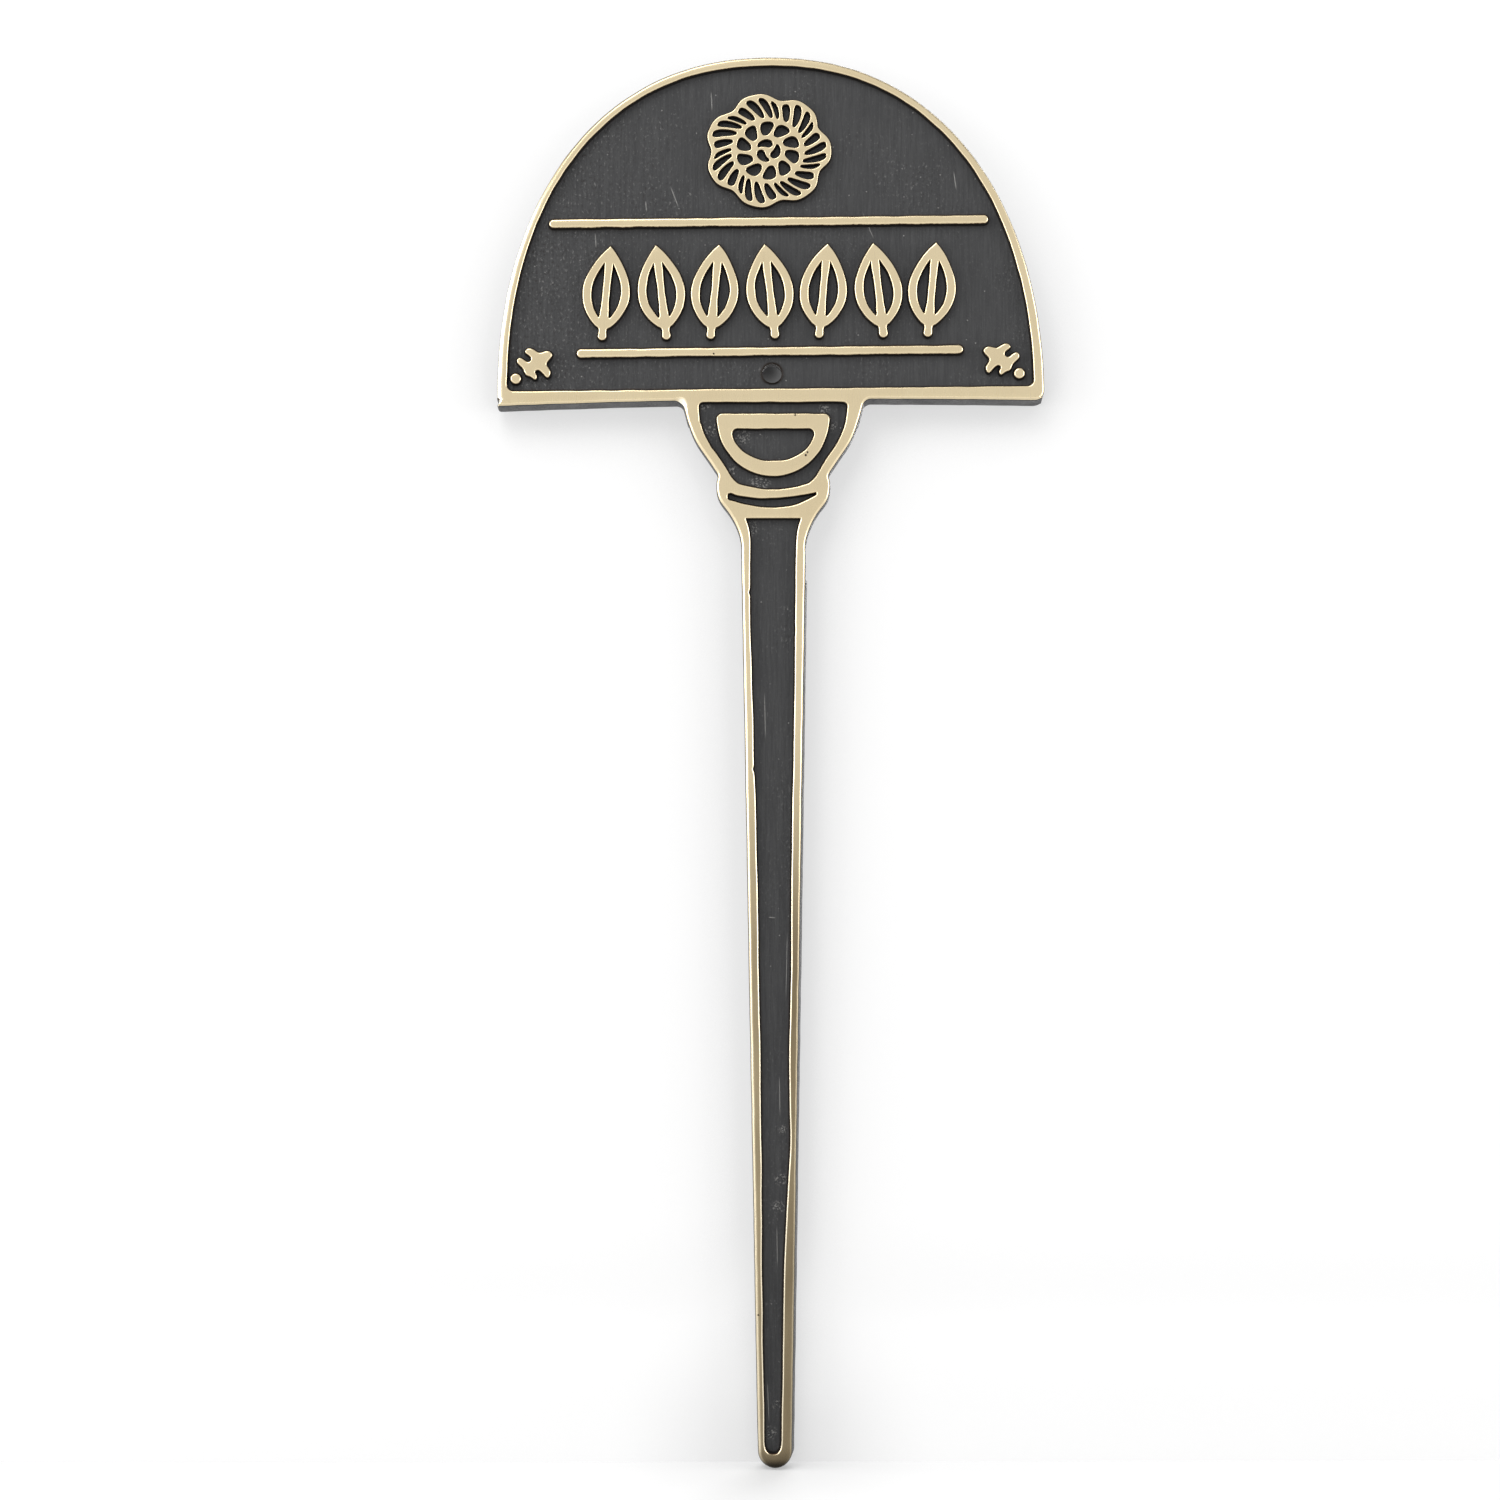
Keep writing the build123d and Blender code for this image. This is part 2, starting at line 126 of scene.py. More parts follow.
# Painted highlight on every other outer edge, how sharply the filing keeps to left-facing points, and
# how fast the highlight rises round the edge
EDGE_HIGHLIGHT_ELSEWHERE = 0.22
FILED_AND_LIT_SPREAD = 1.6
EDGE_LIGHT_RISE = 6
# Painted shade darkens the upper left edge between these heights, holding back a lamp's highlight
DULL_SHADE_HEIGHTS, DULL_SHADE = (224.0, 238.0), 0.62
# Painted highlight on the crests of walls where they face sideways, stronger on the stake's rails
CREST_HIGHLIGHT, RAIL_CREST_HIGHLIGHT = 0.28, 0.80

# Vertex marks that the materials read: on brass the depth of ink on a wall, in the paint how near a wall
# its painted shade lies;
# and how bright an edge is filed and lit by painted highlight, from 1 down to painted shade below 0
INK_AND_SHADE_MARK = "ink_and_shade"
FILED_AND_LIGHT_MARK = "filed_and_painted_light"

# The coat over edge and back: its skin on the wall, its lip near the face and its inner side
SKIN = 0.09
LIP_DROP = 0.3
LIP_STEPS = ((0.7, 0.01), (1.0, 0.08))
TUCK, INNER_CHAMFER = 0.02, 0.12
UNDER_COAT = 0.10
BARE_WALL, COVERED_WALL = 0.8, 0.1

# Paint climbing a wall: share of its reach, rise in millimetres, and painted shade near the wall. Then
# how far it reaches in from the walls, and where its hidden edge goes: into the wall, above the film,
# below the floor
POOL_RISE = ((0.70, 0.01, 0.08), (0.48, 0.04, 0.35), (0.26, 0.11, 0.80), (0.0, 0.24, 1))
WIDE_CLIMB, LEAF_CLIMB, GROOVE_CLIMB, CELL_CLIMB = 0.7, 0.4, 0.25, 0.16
POOL_TUCK, POOL_TOP, POOL_BOTTOM = 0.10, 0.30, 0.04

# Outline unevenness, as reach and span of slow waves, and swelling of the smallest shapes
OUTER_WOBBLE, OUTER_SPAN = 0.05, 3.3
GROUND_WAVES, NECK_WAVES, MOON_WAVES = (0.09, 3.1), (0.10, 2.7), (0.10, 2.3)
GROOVE_WAVES, CHANNEL_WAVES, LEAF_WAVES = (0.08, 2.1), (0.11, 7.3), (0.08, 1.9)
IVY_SWELL, CELL_SWELL = 0.10, 0.10

# Dents cut into the brass by hand: x, z, how deep and how wide
CORNER_DENTS = ((-49.0, 191.9, -0.4, 0.35), (49.0, 192.3, -0.55, 0.8))
GROOVE_DENTS = ((-7.5, 174.8, 0.35, 0.9), (-5.5, 173.9, 0.22, 1.8), (0.5, 172.9, 0.12, 3.0),
                (4.5, 173.4, 0.16, 2.0))
NECK_DENTS = ((13.3, 191.0, 0.40, 0.35), (-12.9, 188.4, 0.15, 0.5), (-10.9, 183.3, 0.12, 0.5))
CHANNEL_DENTS = ((-4.3, 162.6, 0.40, 0.35), (-3.9, 157.6, 0.25, 0.4), (-3.0, 125.8, 0.2, 0.5),
                 (5.1, 150.8, 0.22, 0.7), (4.6, 118.0, 0.15, 0.6), (-1.55, 2.8, -0.42, 1.2),
                 (1.95, 2.8, -0.42, 1.2))

# Noises: grains per millimetre along x, y and z, detail, roughness, warp
BRASS_CLOUDS = ((0.07, 0.07, 0.05), 3.0, 0.6)
BRASS_PATCHES = ((0.22, 0.1, 0.045), 2.0, 0.5)
BRASS_STREAKS = ((5.0, 1.0, 0.22), 3.0, 0.6)
BRASS_GRAIN = ((14.0, 4.0, 3.0), 2.0, 0.5)
RAGGED_EDGE = ((1.6, 1.6, 1.6), 3.0, 0.6)
BRUSHED = ((2.2, 2.2, 0.14), 4.0, 0.65, 0.6)
PAINT_CLOUDS = ((0.16, 0.16, 0.11), 3.0, 0.55)
ORANGE_PEEL = ((1.1, 1.1, 0.8), 2.0, 0.5)
PEBBLES = ((2.3, 2.3, 1.5), 3.0, 0.6)
PEBBLE_ZONES = ((0.08, 0.08, 0.08), 2.0, 0.5)
FINE_GRAIN = ((2.6, 2.6, 2.6), 3.0, 0.7)
SAND = ((2.8, 2.8, 2.8), 4.0, 0.7)

# Where a noise takes hold: nearly all of its range, or the limits for one use
MOST_OF_RANGE = (0.3, 0.7)
WARM_CLOUDS, UNEVEN_PATCHES, TARNISHED_STREAKS = (0.35, 0.7), (0.30, 0.72), (0.42, 0.8)
DARK_CLOUDS, RUBBED_CLOUDS, ZONE_EDGES = (0.40, 0.70), (0.5, 0.75), (0.45, 0.70)
PEBBLE_TOPS, PEBBLE_FEET, SAND_TOPS = (0.57, 0.70), (0.30, 0.46), (0.60, 0.72)
SCRATCH_GRAIN, SCUFF_GRAIN = (0.20, 0.45), (0.50, 0.60)

# Brass colours, and the most of each where it lies over others
BRIGHT_BRASS = (0.690, 0.580, 0.378, 1)
WARM_BRASS, WARM_SHARE = (0.600, 0.485, 0.300, 1), 0.35
# A darker, browner brass: for streaks, towards the stake's foot, and for the painted shade that dulls
# edges
DARK_BROWN_BRASS, STREAK_SHARE, DULL_SHADE_SHARE = (0.172, 0.133, 0.078, 1), 0.12, 0.52
# Rubbed and filed brass, mostly carrying painted highlights on edges
RUBBED_HIGHLIGHT_BRASS = (0.860, 0.750, 0.540, 1)
FILED_HIGHLIGHT_BRASS = (0.985, 0.940, 0.800, 1)
SEAM_BROWN = (0.075, 0.034, 0.016, 1)
# Dark for pits, and for painted shade at the tip; black for paint on walls, and for painted shade on the
# tip's bottom edge
PIT_AND_SHADE_DARK, TIP_SHADE_SHARE = (0.060, 0.045, 0.030, 1), 0.74
WALL_AND_SHADE_BLACK, TIP_EDGE_SHADE_SHARE = (0.016, 0.015, 0.014, 1), 0.85

# Where the brass changes: heights, places across and depths in millimetres, and marks of filing and
# painted light
# Heights of the darker, browner foot, and of painted shade at the tip and on its bottom edge
DARKENING_HEIGHTS, TIP_SHADE_HEIGHTS, TIP_EDGE_SHADE_HEIGHTS = (88.0, 142.0), (0.3, 5.0), (0.8, 2.2)
RAILS, LEFT_RAIL_SHARE, UNEVEN_SHARE = (-3.0, 3.0), 0.80, 0.84
# Marks for painted shade, for rubbed brass with painted highlight, and for filing with painted highlight
DULL_SHADE_MARKS, RUBBED_HIGHLIGHT_MARKS, FILED_HIGHLIGHT_MARKS = (-0.4, 0.0), (0.0, 0.75), (0.70, 1.0)
RAGGED = 0.05
SEAM_DEPTHS, INKED_DEPTHS = (0.13, 0.18), (0.19, 0.43)
PITS = ((4.4, 189.4, 0.30), (6.3, 182.2, 0.36), (6.6, 182.7, 0.30), (-10.2, 200.4, 0.30),
        (-2.5, 27.9, 0.30), (-48.9, 192.3, 0.55))
PIT_RAGGED = 0.7

# The brass's gloss and relief
BRASS_ROUGH, FOOT_ROUGHER, SEAM_ROUGH = (0.20, 0.28), 0.05, 0.7
STREAK_RELIEF, GRAIN_RELIEF, PIT_RELIEF = 0.6, 0.4, -4.0
BRASS_SPECULAR, BRASS_BUMP = 0.05, 0.004

# Enamel colours, and the most of each where it lies over others
PAINT_GREY = (0.070, 0.0703, 0.0715, 1)
PAINT_DARK, CLOUD_SHARE = (0.050, 0.0502, 0.0515, 1), 0.45
# Painted shade where the paint meets the walls and in pebble hollows
PAINT_SHADED, PEBBLE_SHADE_SHARE = (0.014, 0.009, 0.006, 1), 0.50
# Light scuffs and specks, also used for painted glints on pebble tops
PAINT_SCUFF_AND_GLINT, SPECK_SHARE, PAINTED_GLINT_SHARE, RUB_SHARE = (0.270, 0.265, 0.255, 1), 0.9, 0.42, 0.35

# Pebbly paint, with painted glints on its tops and painted shade in its hollows: how strong it is in its
# zones, on the head's left and on the back
ZONE_PEBBLES, LEFT_PEBBLES, BACK_PEBBLES, STRAY_PAINTED_GLINTS = 0.6, 0.8, 0.22, 0.15
PEBBLY_SIDE = (-42.0, -8.0)

# Specks in the paint: cells per millimetre, the share of empty cells, and a speck's soft edge
SPECK_CELLS, SPECK_CHANCE, SPECK_EDGE = 0.62, 0.72, (0.04, 0.12)

# The enamel's gloss and relief
PAINT_ROUGH, PAINT_SPECULAR, PAINT_BUMP = (0.42, 0.52), 0.15, 0.080
BRUSHED_RELIEF, SPECK_RELIEF, SAND_RELIEF = 0.6, 1.2, 3.0
PEBBLE_RELIEF = (0.5, 2.6)

# Scratches from (x, z) to (x, z), and scuffs as x, z, radius. A scratch tapers between two shares
# of its length from its middle
SCRATCHES = (((-10.6, 247.9), (-10.4, 244.0)), ((-18.0, 230.9), (-16.4, 226.7)),
             ((-22.4, 228.2), (-22.2, 226.0)), ((16.5, 226.2), (18.7, 221.0)),
             ((-31.5, 222.5), (-31.3, 219.5)), ((33.0, 233.5), (33.5, 229.8)),
             ((2.9, 97.0), (2.6, 84.0)), ((1.4, 71.0), (1.5, 63.0)), ((-0.6, 99.2), (0.8, 99.1)),
             ((-1.2, 140.0), (-1.0, 131.0)), ((0.9, 44.0), (1.0, 36.0)), ((-0.9, 16.0), (-0.6, 8.0)))
SCRATCH_WIDTH, TAPER = 0.16, (0.2, 0.5)
SCUFFS = ((-14.6, 229.2, 0.5), (-11.9, 191.5, 1.6), (-11.0, 187.0, 2.0), (-7.2, 179.5, 1.6),
          (-2.0, 177.2, 2.6), (-5.0, 185.6, 1.9), (-3.6, 169.2, 1.8), (9.6, 190.5, 1.5),
          (11.0, 187.5, 1.4), (1.6, 52.0, 1.5), (1.2, 47.0, 1.6), (1.9, 61.0, 1.1),
          (-0.4, 6.5, 1.6), (0.9, 11.5, 1.2))
SCUFF_STRENGTH = 2.0

# Stage, in metres: paper that glows by itself and is shaded by the lamps. The lit spot is where
# the lamps point
BACKDROP_GLOW, BACKDROP_SHADE = 0.72, 0.32
FLOOR_GLOW, FLOOR_SHADE = 0.50, 0.40
FLOOR_REACH = 3.0
BACKDROP_REACH, BACKDROP_TOP = 0.6, 0.8
BACKDROP_Y = 0.0034
LIT = (0, 0, 0.17)
SHADOW_REACH = 0.045

# The object's soft shadow on the paper, with distances in millimetres. The shadow is painted weaker
# towards the top, and round painted shadows lie behind the hole and round the foot
SHADOW_SAMPLES = 4
SHADOW_FROM, SHADOW_LEAST, TOP_LEAST = 0.75, 0.80, 0.97
CORNER_SHARE = 0.62
HOLE_SHADOW_OFFSET, HOLE_SHADOW_RADIUS = (-1.0, 1.6), 12.0
FOOT_SHADOW_DISTANCES, FOOT_SHADOW_LEAST = (3.0, 32.0), 0.80

# Between these distances from the lit spot, in millimetres, the paper turns to its brightest
FAR_DISTANCES = (200.0, 700.0)

# Light: the world as it is seen and as it lights, and lamps as name, place, size and watts
SKY_SEEN, SKY_LIGHT = 1.0, 0.44
LAMPS = (("left_window", (-0.80, -0.20, 0.32), 0.7, 6.5),
         ("right_window", (0.80, -0.22, 0.25), 0.6, 4.5),
         ("top_window", (-0.25, -0.55, 0.85), 0.5, 3.4),
         ("back_window", (0.2, 0.8, 0.5), 0.6, 6.0))

# Camera: the view's width is measured at the face
CAMERA_DISTANCE, CAMERA_X, CAMERA_Z = 0.458, -0.0038, 0.1293
CAMERA_PITCH, CAMERA_ROLL = math.radians(90), math.radians(0.1)
SENSOR, VIEW_WIDTH = 36, 0.2691


# Outlines

def flat_border(node, level, facing):
    """The points (x, z) of a node, in millimetres, and the border of its flat face at a level of y."""
    mesh = frame["nodes"][node].data
    keys = {}
    spots = []
    ids = []
    for vertex in mesh.vertices:
        x, y, z = (PER_METRE * c for c in vertex.co)
        key = tuple(round(c, DIGITS) for c in (x, y, z))
        if key not in keys:
            keys[key] = len(spots)
            spots.append((x, z))
        ids.append(keys[key])
    border = set()
    for polygon in mesh.polygons:
        off_level = abs(PER_METRE * polygon.center.y - level) > LEVEL_SLACK
        if off_level or polygon.normal.y * facing < FLAT_ENOUGH:
            continue
        corners = [ids[i] for i in polygon.vertices]
        for a, b in zip(corners, corners[1:] + corners[:1]):
            if a == b:
                continue
            if (b, a) in border:
                border.discard((b, a))
            else:
                border.add((a, b))
    return spots, border


def film_loops(node, level, facing):
    """Closed outlines of a node's flat face at a level of y, as (x, z) arrays."""
    spots, border = flat_border(node, level, facing)
    following = {}
    for a, b in border:
        following.setdefault(a, []).append(b)

    def after(here):
        onward = following[here].pop()
        if not following[here]:
            del following[here]
        return onward

    loops = []
    while following:
        start = next(iter(following))
        loop = [start]
        here = after(start)
        while here != start:
            loop.append(here)
            here = after(here)
        loops.append(np.array([spots[i] for i in loop]))
    return loops


def area(loop):
    x, z = loop[:, 0], loop[:, 1]
    return 0.5 * float(np.sum(x * np.roll(z, -1) - np.roll(x, -1) * z))


def centre(loop):
    return (loop.min(axis=0) + loop.max(axis=0)) / 2


def turned(loop, sign):
    """The loop run anticlockwise (sign 1) or clockwise (sign -1)."""
    return loop if area(loop) * sign > 0 else loop[::-1]


def hermite(t, start, leaving, end, arriving):
    """The point at a share t of a curve with these ends and end directions."""
    h00 = 2 * t ** 3 - 3 * t ** 2 + 1
    h10 = t ** 3 - 2 * t ** 2 + t
    h01 = -2 * t ** 3 + 3 * t ** 2
    h11 = t ** 3 - t ** 2
    length = np.linalg.norm(end - start)
    return h00 * start + h10 * length * leaving + h01 * end + h11 * length * arriving


def smoothed(loop, step):
    """Loop through the same points, curved between them except at sharp corners, in even steps."""
    before = loop - np.roll(loop, 1, axis=0)
    after = np.roll(loop, -1, axis=0) - loop
    b = before / np.linalg.norm(before, axis=1)[:, None]
    a = after / np.linalg.norm(after, axis=1)[:, None]
    turn = np.arccos(np.clip(np.sum(a * b, axis=1), -1, 1))
    through = np.roll(loop, -1, axis=0) - np.roll(loop, 1, axis=0)
    through /= np.linalg.norm(through, axis=1)[:, None]
    corner = turn > CORNER_TURN
    leaving = np.where(corner[:, None], a, through)
    arriving = np.where(corner[:, None], b, through)
    out = []
    for i in range(len(loop)):
        j = (i + 1) % len(loop)
        pieces = max(1, round(np.linalg.norm(loop[j] - loop[i]) / step))
        out += [hermite(k / pieces, loop[i], leaving[i], loop[j], arriving[j]) for k in range(pieces)]
    return np.array(out)


def normals(loop):
    """Unit normals to the right of the run: outward on an anticlockwise loop."""
    along = np.roll(loop, -1, axis=0) - np.roll(loop, 1, axis=0)
    along /= np.linalg.norm(along, axis=1)[:, None]
    return np.stack([along[:, 1], -along[:, 0]], axis=1)


def steadiest(loop):
    """Index of the point farthest from any sharp turn."""
    along = np.roll(loop, -1, axis=0) - loop
    heading = np.arctan2(along[:, 1], along[:, 0])
    turn = np.abs(np.angle(np.exp(1j * (heading - np.roll(heading, 1)))))
    around = sum(np.roll(turn, shift) for shift in range(-STEADY_SPAN, STEADY_SPAN + 1))
    return int(np.argmin(around))


def nearest(spots, points):
    """How far each spot is from the nearest of some points."""
    return np.array([np.min(np.linalg.norm(points - spot, axis=1)) for spot in spots])


def grown(loop, by):
    """The loop moved by a distance along its normals, with crossed stretches drawn together."""
    count = len(loop)
    by = np.broadcast_to(by, count)
    if not by.any():
        return loop
    moved = loop + by[:, None] * normals(loop)
    good = nearest(moved, loop) > CROSSED * np.abs(by)
    if good.all() or good.sum() < 3:
        return moved
    index = np.arange(count)
    kept = index[good]
    period = np.concatenate([kept - count, kept, kept + count])
    values = np.concatenate([moved[kept]] * 3)
    return np.stack([np.interp(index, period, values[:, c]) for c in (0, 1)], axis=1)


def spaced(loops, width):
    """Each loop with the width that it may give up at each point without meeting another loop."""
    out = []
    for number, loop in enumerate(loops):
        others = loops[:number] + loops[number + 1:]
        room = width
        if others:
            room = np.minimum(width, ROOM_SHARE * nearest(loop, np.concatenate(others)))
        out.append((loop, room))
    return out


def slim(loop):
    """The most that an outline may shrink by and still leave a flat middle."""
    around = np.sum(np.linalg.norm(loop - np.roll(loop, 1, axis=0), axis=1))
    return SLIM_SHARE * abs(area(loop)) / around


def wobbled(loop, reach, span, dents=()):
    """Hand-cut unevenness: the loop moved along its normals by slow noise and at single dents."""
    shift = np.array([noise.noise(Vector((x / span, z / span, span))) for x, z in loop]) * reach
    for x, z, depth, width in dents:
        away = np.linalg.norm(loop - np.array((x, z)), axis=1)
        shift += depth * np.exp(-(away / width) ** 2)
    return loop + shift[:, None] * normals(loop)


# Meshes

class Builder:
    """A closed mesh from rings of (x, z) outlines at levels of y."""

    def __init__(self):
        self.points = []
        self.marks = []
        self.faces = []

    def ring(self, loop, y, ink_and_shade, filed_and_painted_light):
        start = len(self.points)
        count = len(loop)
        levels, inks_and_shades, edges = (np.broadcast_to(value, count).tolist() for value in (y, ink_and_shade, filed_and_painted_light))
        self.points += [(x * MM, level * MM, z * MM) for (x, z), level in zip(loop.tolist(), levels)]
        self.marks += zip(inks_and_shades, edges)
        return list(range(start, len(self.points)))

    def wall(self, loop, steps):
        """Skin along steps of (distance the loop is grown, y, ink and painted shade, filing and painted
        light): its first and last ring.
        """
        rings = [self.ring(grown(loop, by), y, ink_and_shade, filed_and_painted_light) for by, y, ink_and_shade, filed_and_painted_light in steps]
        for upper, lower in zip(rings, rings[1:]):
            for i in range(len(upper)):
                j = (i + 1) % len(upper)
                self.faces.append((upper[i], lower[i], lower[j], upper[j]))
        return rings[0], rings[-1]

    def cap(self, rings):
        """Flat face between an outer ring and any rings inside it."""
        ids = [i for ring in rings for i in ring]
        flat = [Vector((self.points[i][0], self.points[i][2])) for i in ids]
        loops = []
        start = 0
        for ring in rings:
            shape = np.array(flat[start:start + len(ring)])
            first = steadiest(shape)
            loop = [start + (first + i) % len(ring) for i in range(len(ring))]
            loops.append(loop if area(shape) > 0 else loop[::-1])
            start += len(ring)
        cut_up = delaunay_2d_cdt(flat, [], loops, 0, CAP_EPSILON)
        verts, faces, vert_origins, face_origins = (cut_up[i] for i in (0, 2, 3, 5))
        y = self.points[ids[0]][1]
        names = []
        for vert, origin in zip(verts, vert_origins):
            if origin:
                names.append(ids[origin[0]])
            else:
                names.append(len(self.points))
                self.points.append((vert.x, y, vert.y))
                self.marks.append(self.marks[ids[0]])
        for face, origin in zip(faces, face_origins):
            if list(origin) == [0]:
                self.faces.append(tuple(names[i] for i in face))

    def fill(self, mesh):
        """Write the points, their marks and the faces into a mesh, welded and closed."""
        made = bmesh.new()
        layers = [made.verts.layers.float.new(mark) for mark in (INK_AND_SHADE_MARK, FILED_AND_LIGHT_MARK)]
        verts = [made.verts.new(p) for p in self.points]
        for vert, marks in zip(verts, self.marks):
            for layer, value in zip(layers, marks):
                vert[layer] = value
        for face in self.faces:
            corners = []
            for i in face:
                if verts[i] not in corners:
                    corners.append(verts[i])
            if len(corners) > 2:
                try:
                    made.faces.new(corners)
                except ValueError:
                    continue
        bmesh.ops.remove_doubles(made, verts=made.verts, dist=WELD * MM)
        bmesh.ops.dissolve_degenerate(made, edges=made.edges, dist=WELD * MM)
        bmesh.ops.holes_fill(made, edges=made.edges, sides=SMALL_HOLE_SIDES)
        loose = [v for v in made.verts if not v.link_faces]
        bmesh.ops.delete(made, geom=loose, context="VERTS")
        bmesh.ops.recalc_face_normals(made, faces=made.faces)
        made.to_mesh(mesh)
        made.free()

    def build(self, name, material):
        mesh = bpy.data.meshes.new(name)
        piece = bpy.data.objects.new(name, mesh)
        bpy.context.scene.collection.objects.link(piece)
        self.fill(mesh)
        mesh.shade_smooth()
        mesh.materials.append(material)
        weighted = piece.modifiers.new("weighted", "WEIGHTED_NORMAL")
        weighted.keep_sharp = True
        weighted.weight = NORMAL_WEIGHT
        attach(piece, BODY)
        return piece


def quarter_turn():
    """Sine and cosine at even steps of a quarter turn."""
    angles = [math.pi / 2 * k / ROUND_STEPS for k in range(ROUND_STEPS + 1)]
    return [(math.sin(angle), math.cos(angle)) for angle in angles]


def round_over(radius, top_y):
    """Steps of a quarter round from a flat face at top_y, ending a radius deeper."""
    return [(-radius * (1 - sine), top_y + radius * (1 - cosine)) for sine, cosine in quarter_turn()]


def relief_wall(loop, radius, bottom_y, crest_highlight):
    """Steps from the face round its edge and down a drafted wall to a level, inked by their depth.

    The crest gets a painted highlight where it faces sideways."""
    radius = np.minimum(radius, slim(loop))
    rubbed_highlight = crest_highlight * np.abs(normals(loop)[:, 0])
    steps = [(by, y, y - FACE_Y, rubbed_highlight * (y > FACE_Y)) for by, y in round_over(radius, FACE_Y)]
    for share in (0.5, 1.0):
        y = FACE_Y + radius + share * (bottom_y - FACE_Y - radius)
        steps.append((FOOT_FLARE * share, y, y - FACE_Y, 0))
    return steps


def plain(steps):
    """Steps with neither ink nor filing."""
    return [(by, y, 0, 0) for by, y in steps]


# Shading

class Shading:
    """Short calls for the nodes of a material or world. Places are in millimetres."""

    def __init__(self, owner, output="OutputMaterial"):
        owner.use_nodes = True
        self.owner = owner
        self.tree = owner.node_tree
        self.tree.nodes.clear()
        self.out = self.node(output)

    def node(self, kind, inputs=None, **settings):
        made = self.tree.nodes.new("ShaderNode" + kind)
        for key, value in settings.items():
            setattr(made, key, value)
        for key, value in (inputs or {}).items():
            self.feed(made.inputs[key], value)
        return made

    def feed(self, socket, value):
        if isinstance(value, bpy.types.NodeSocket):
            self.tree.links.new(value, socket)
        else:
            socket.default_value = value

    def show(self, shader):
        self.feed(self.out.inputs["Surface"], shader)
        return self.owner

    def math(self, operation, first, second=0.0, clamp=False):
        made = self.node("Math", {0: first, 1: second}, operation=operation, use_clamp=clamp)
        return made.outputs[0]

    def total(self, first, *others):
        for other in others:
            first = self.math("ADD", first, other)
        return first

    def product(self, first, *others):
        for other in others:
            first = self.math("MULTIPLY", first, other)
        return first

    def most(self, first, *others):
        for other in others:
            first = self.math("MAXIMUM", first, other)
        return first

    def span(self, value, low, high, at_low=0.0, at_high=1.0):
        """The value's place between two limits, eased, as a number between two others."""
        inputs = {"Value": value, "From Min": low, "From Max": high,
                  "To Min": at_low, "To Max": at_high}
        return self.node("MapRange", inputs, interpolation_type="SMOOTHSTEP").outputs[0]

    def place(self, stretch=(1, 1, 1)):
        """Object coordinates in millimetres, times a stretch."""
        spot = self.node("TexCoord").outputs["Object"]
        scale = tuple(c / MM for c in stretch)
        return self.node("VectorMath", {0: spot, 1: scale}, operation="MULTIPLY").outputs[0]

    def axis(self, name):
        """The X, Y or Z of a place."""
        return self.node("SeparateXYZ", {0: self.place()}).outputs[name]

    def apart(self, place, spot):
        """The distance of a place from one spot."""
        return self.node("VectorMath", {0: place, 1: spot}, operation="DISTANCE").outputs["Value"]

    def noise(self, stretch, detail, roughness, warp=0.0):
        """Noise whose grains are 1/stretch millimetres along x, y and z."""
        inputs = {"Vector": self.place(stretch), "Scale": 1.0, "Detail": detail,
                  "Roughness": roughness, "Distortion": warp}
        return self.node("TexNoise", inputs).outputs["Fac"]

    def mix(self, amount, first, second):
        """A colour between two others: the Mix node's colour sockets are 6 and 7, and output 2."""
        return self.node("Mix", {0: amount, 6: first, 7: second}, data_type="RGBA").outputs[2]

    def blend(self, amount, first, second):
        """A number between two others, on the Mix node's number sockets."""
        return self.node("Mix", {0: amount, 2: first, 3: second}, data_type="FLOAT").outputs[0]

    def layered(self, colour, layers):
        """A colour under layers of (amount, colour), each mixed over the ones before it."""
        for amount, over in layers:
            colour = self.mix(amount, colour, over)
        return colour

    def spots(self, marks):
        """Round marks at (x, z, radius) on the face: 1 at a mark's middle, 0 from its edge."""
        flat = self.place((1, 0, 1))
        return self.most(*[self.span(self.apart(flat, (x, 0, z)), 0.0, radius, 1.0, 0.0)
                           for x, z, radius in marks])

    def lines(self, strokes, width):
        """Thin straight strokes from (x, z) to (x, z) on the face, tapered to their ends."""
        flat = self.place((1, 0, 1))
        made = []
        for (x0, z0), (x1, z1) in strokes:
            run = Vector((x1 - x0, 0, z1 - z0))
            along = run.normalized()
            across = Vector((-along.z, 0, along.x))
            offset = self.node("VectorMath", {0: flat, 1: (x0, 0, z0)}, operation="SUBTRACT").outputs[0]
            aside, ahead = (self.node("VectorMath", {0: offset, 1: way}, operation="DOT_PRODUCT")
                            .outputs["Value"] for way in (across, along))
            middle = self.math("ABSOLUTE", self.math("SUBTRACT", ahead, run.length / 2))
            ends = self.span(middle, *(run.length * share for share in TAPER), 1.0, 0.0)
            body = self.span(self.math("ABSOLUTE", aside), 0.0, width, 1.0, 0.0)
            made.append(self.product(ends, body))
        return self.most(*made)

    def attribute(self, name):
        return self.node("Attribute", attribute_name=name).outputs["Fac"]

    def bump(self, height, distance):
        return self.node("Bump", {"Height": height, "Distance": distance * MM}).outputs[0]

    def seen(self):
        """1 for light on its way to the camera, straight, off a gloss or through glass."""
        path = self.node("LightPath").outputs
        return self.most(path["Is Camera Ray"], path["Is Glossy Ray"], path["Is Transmission Ray"])


# Brass

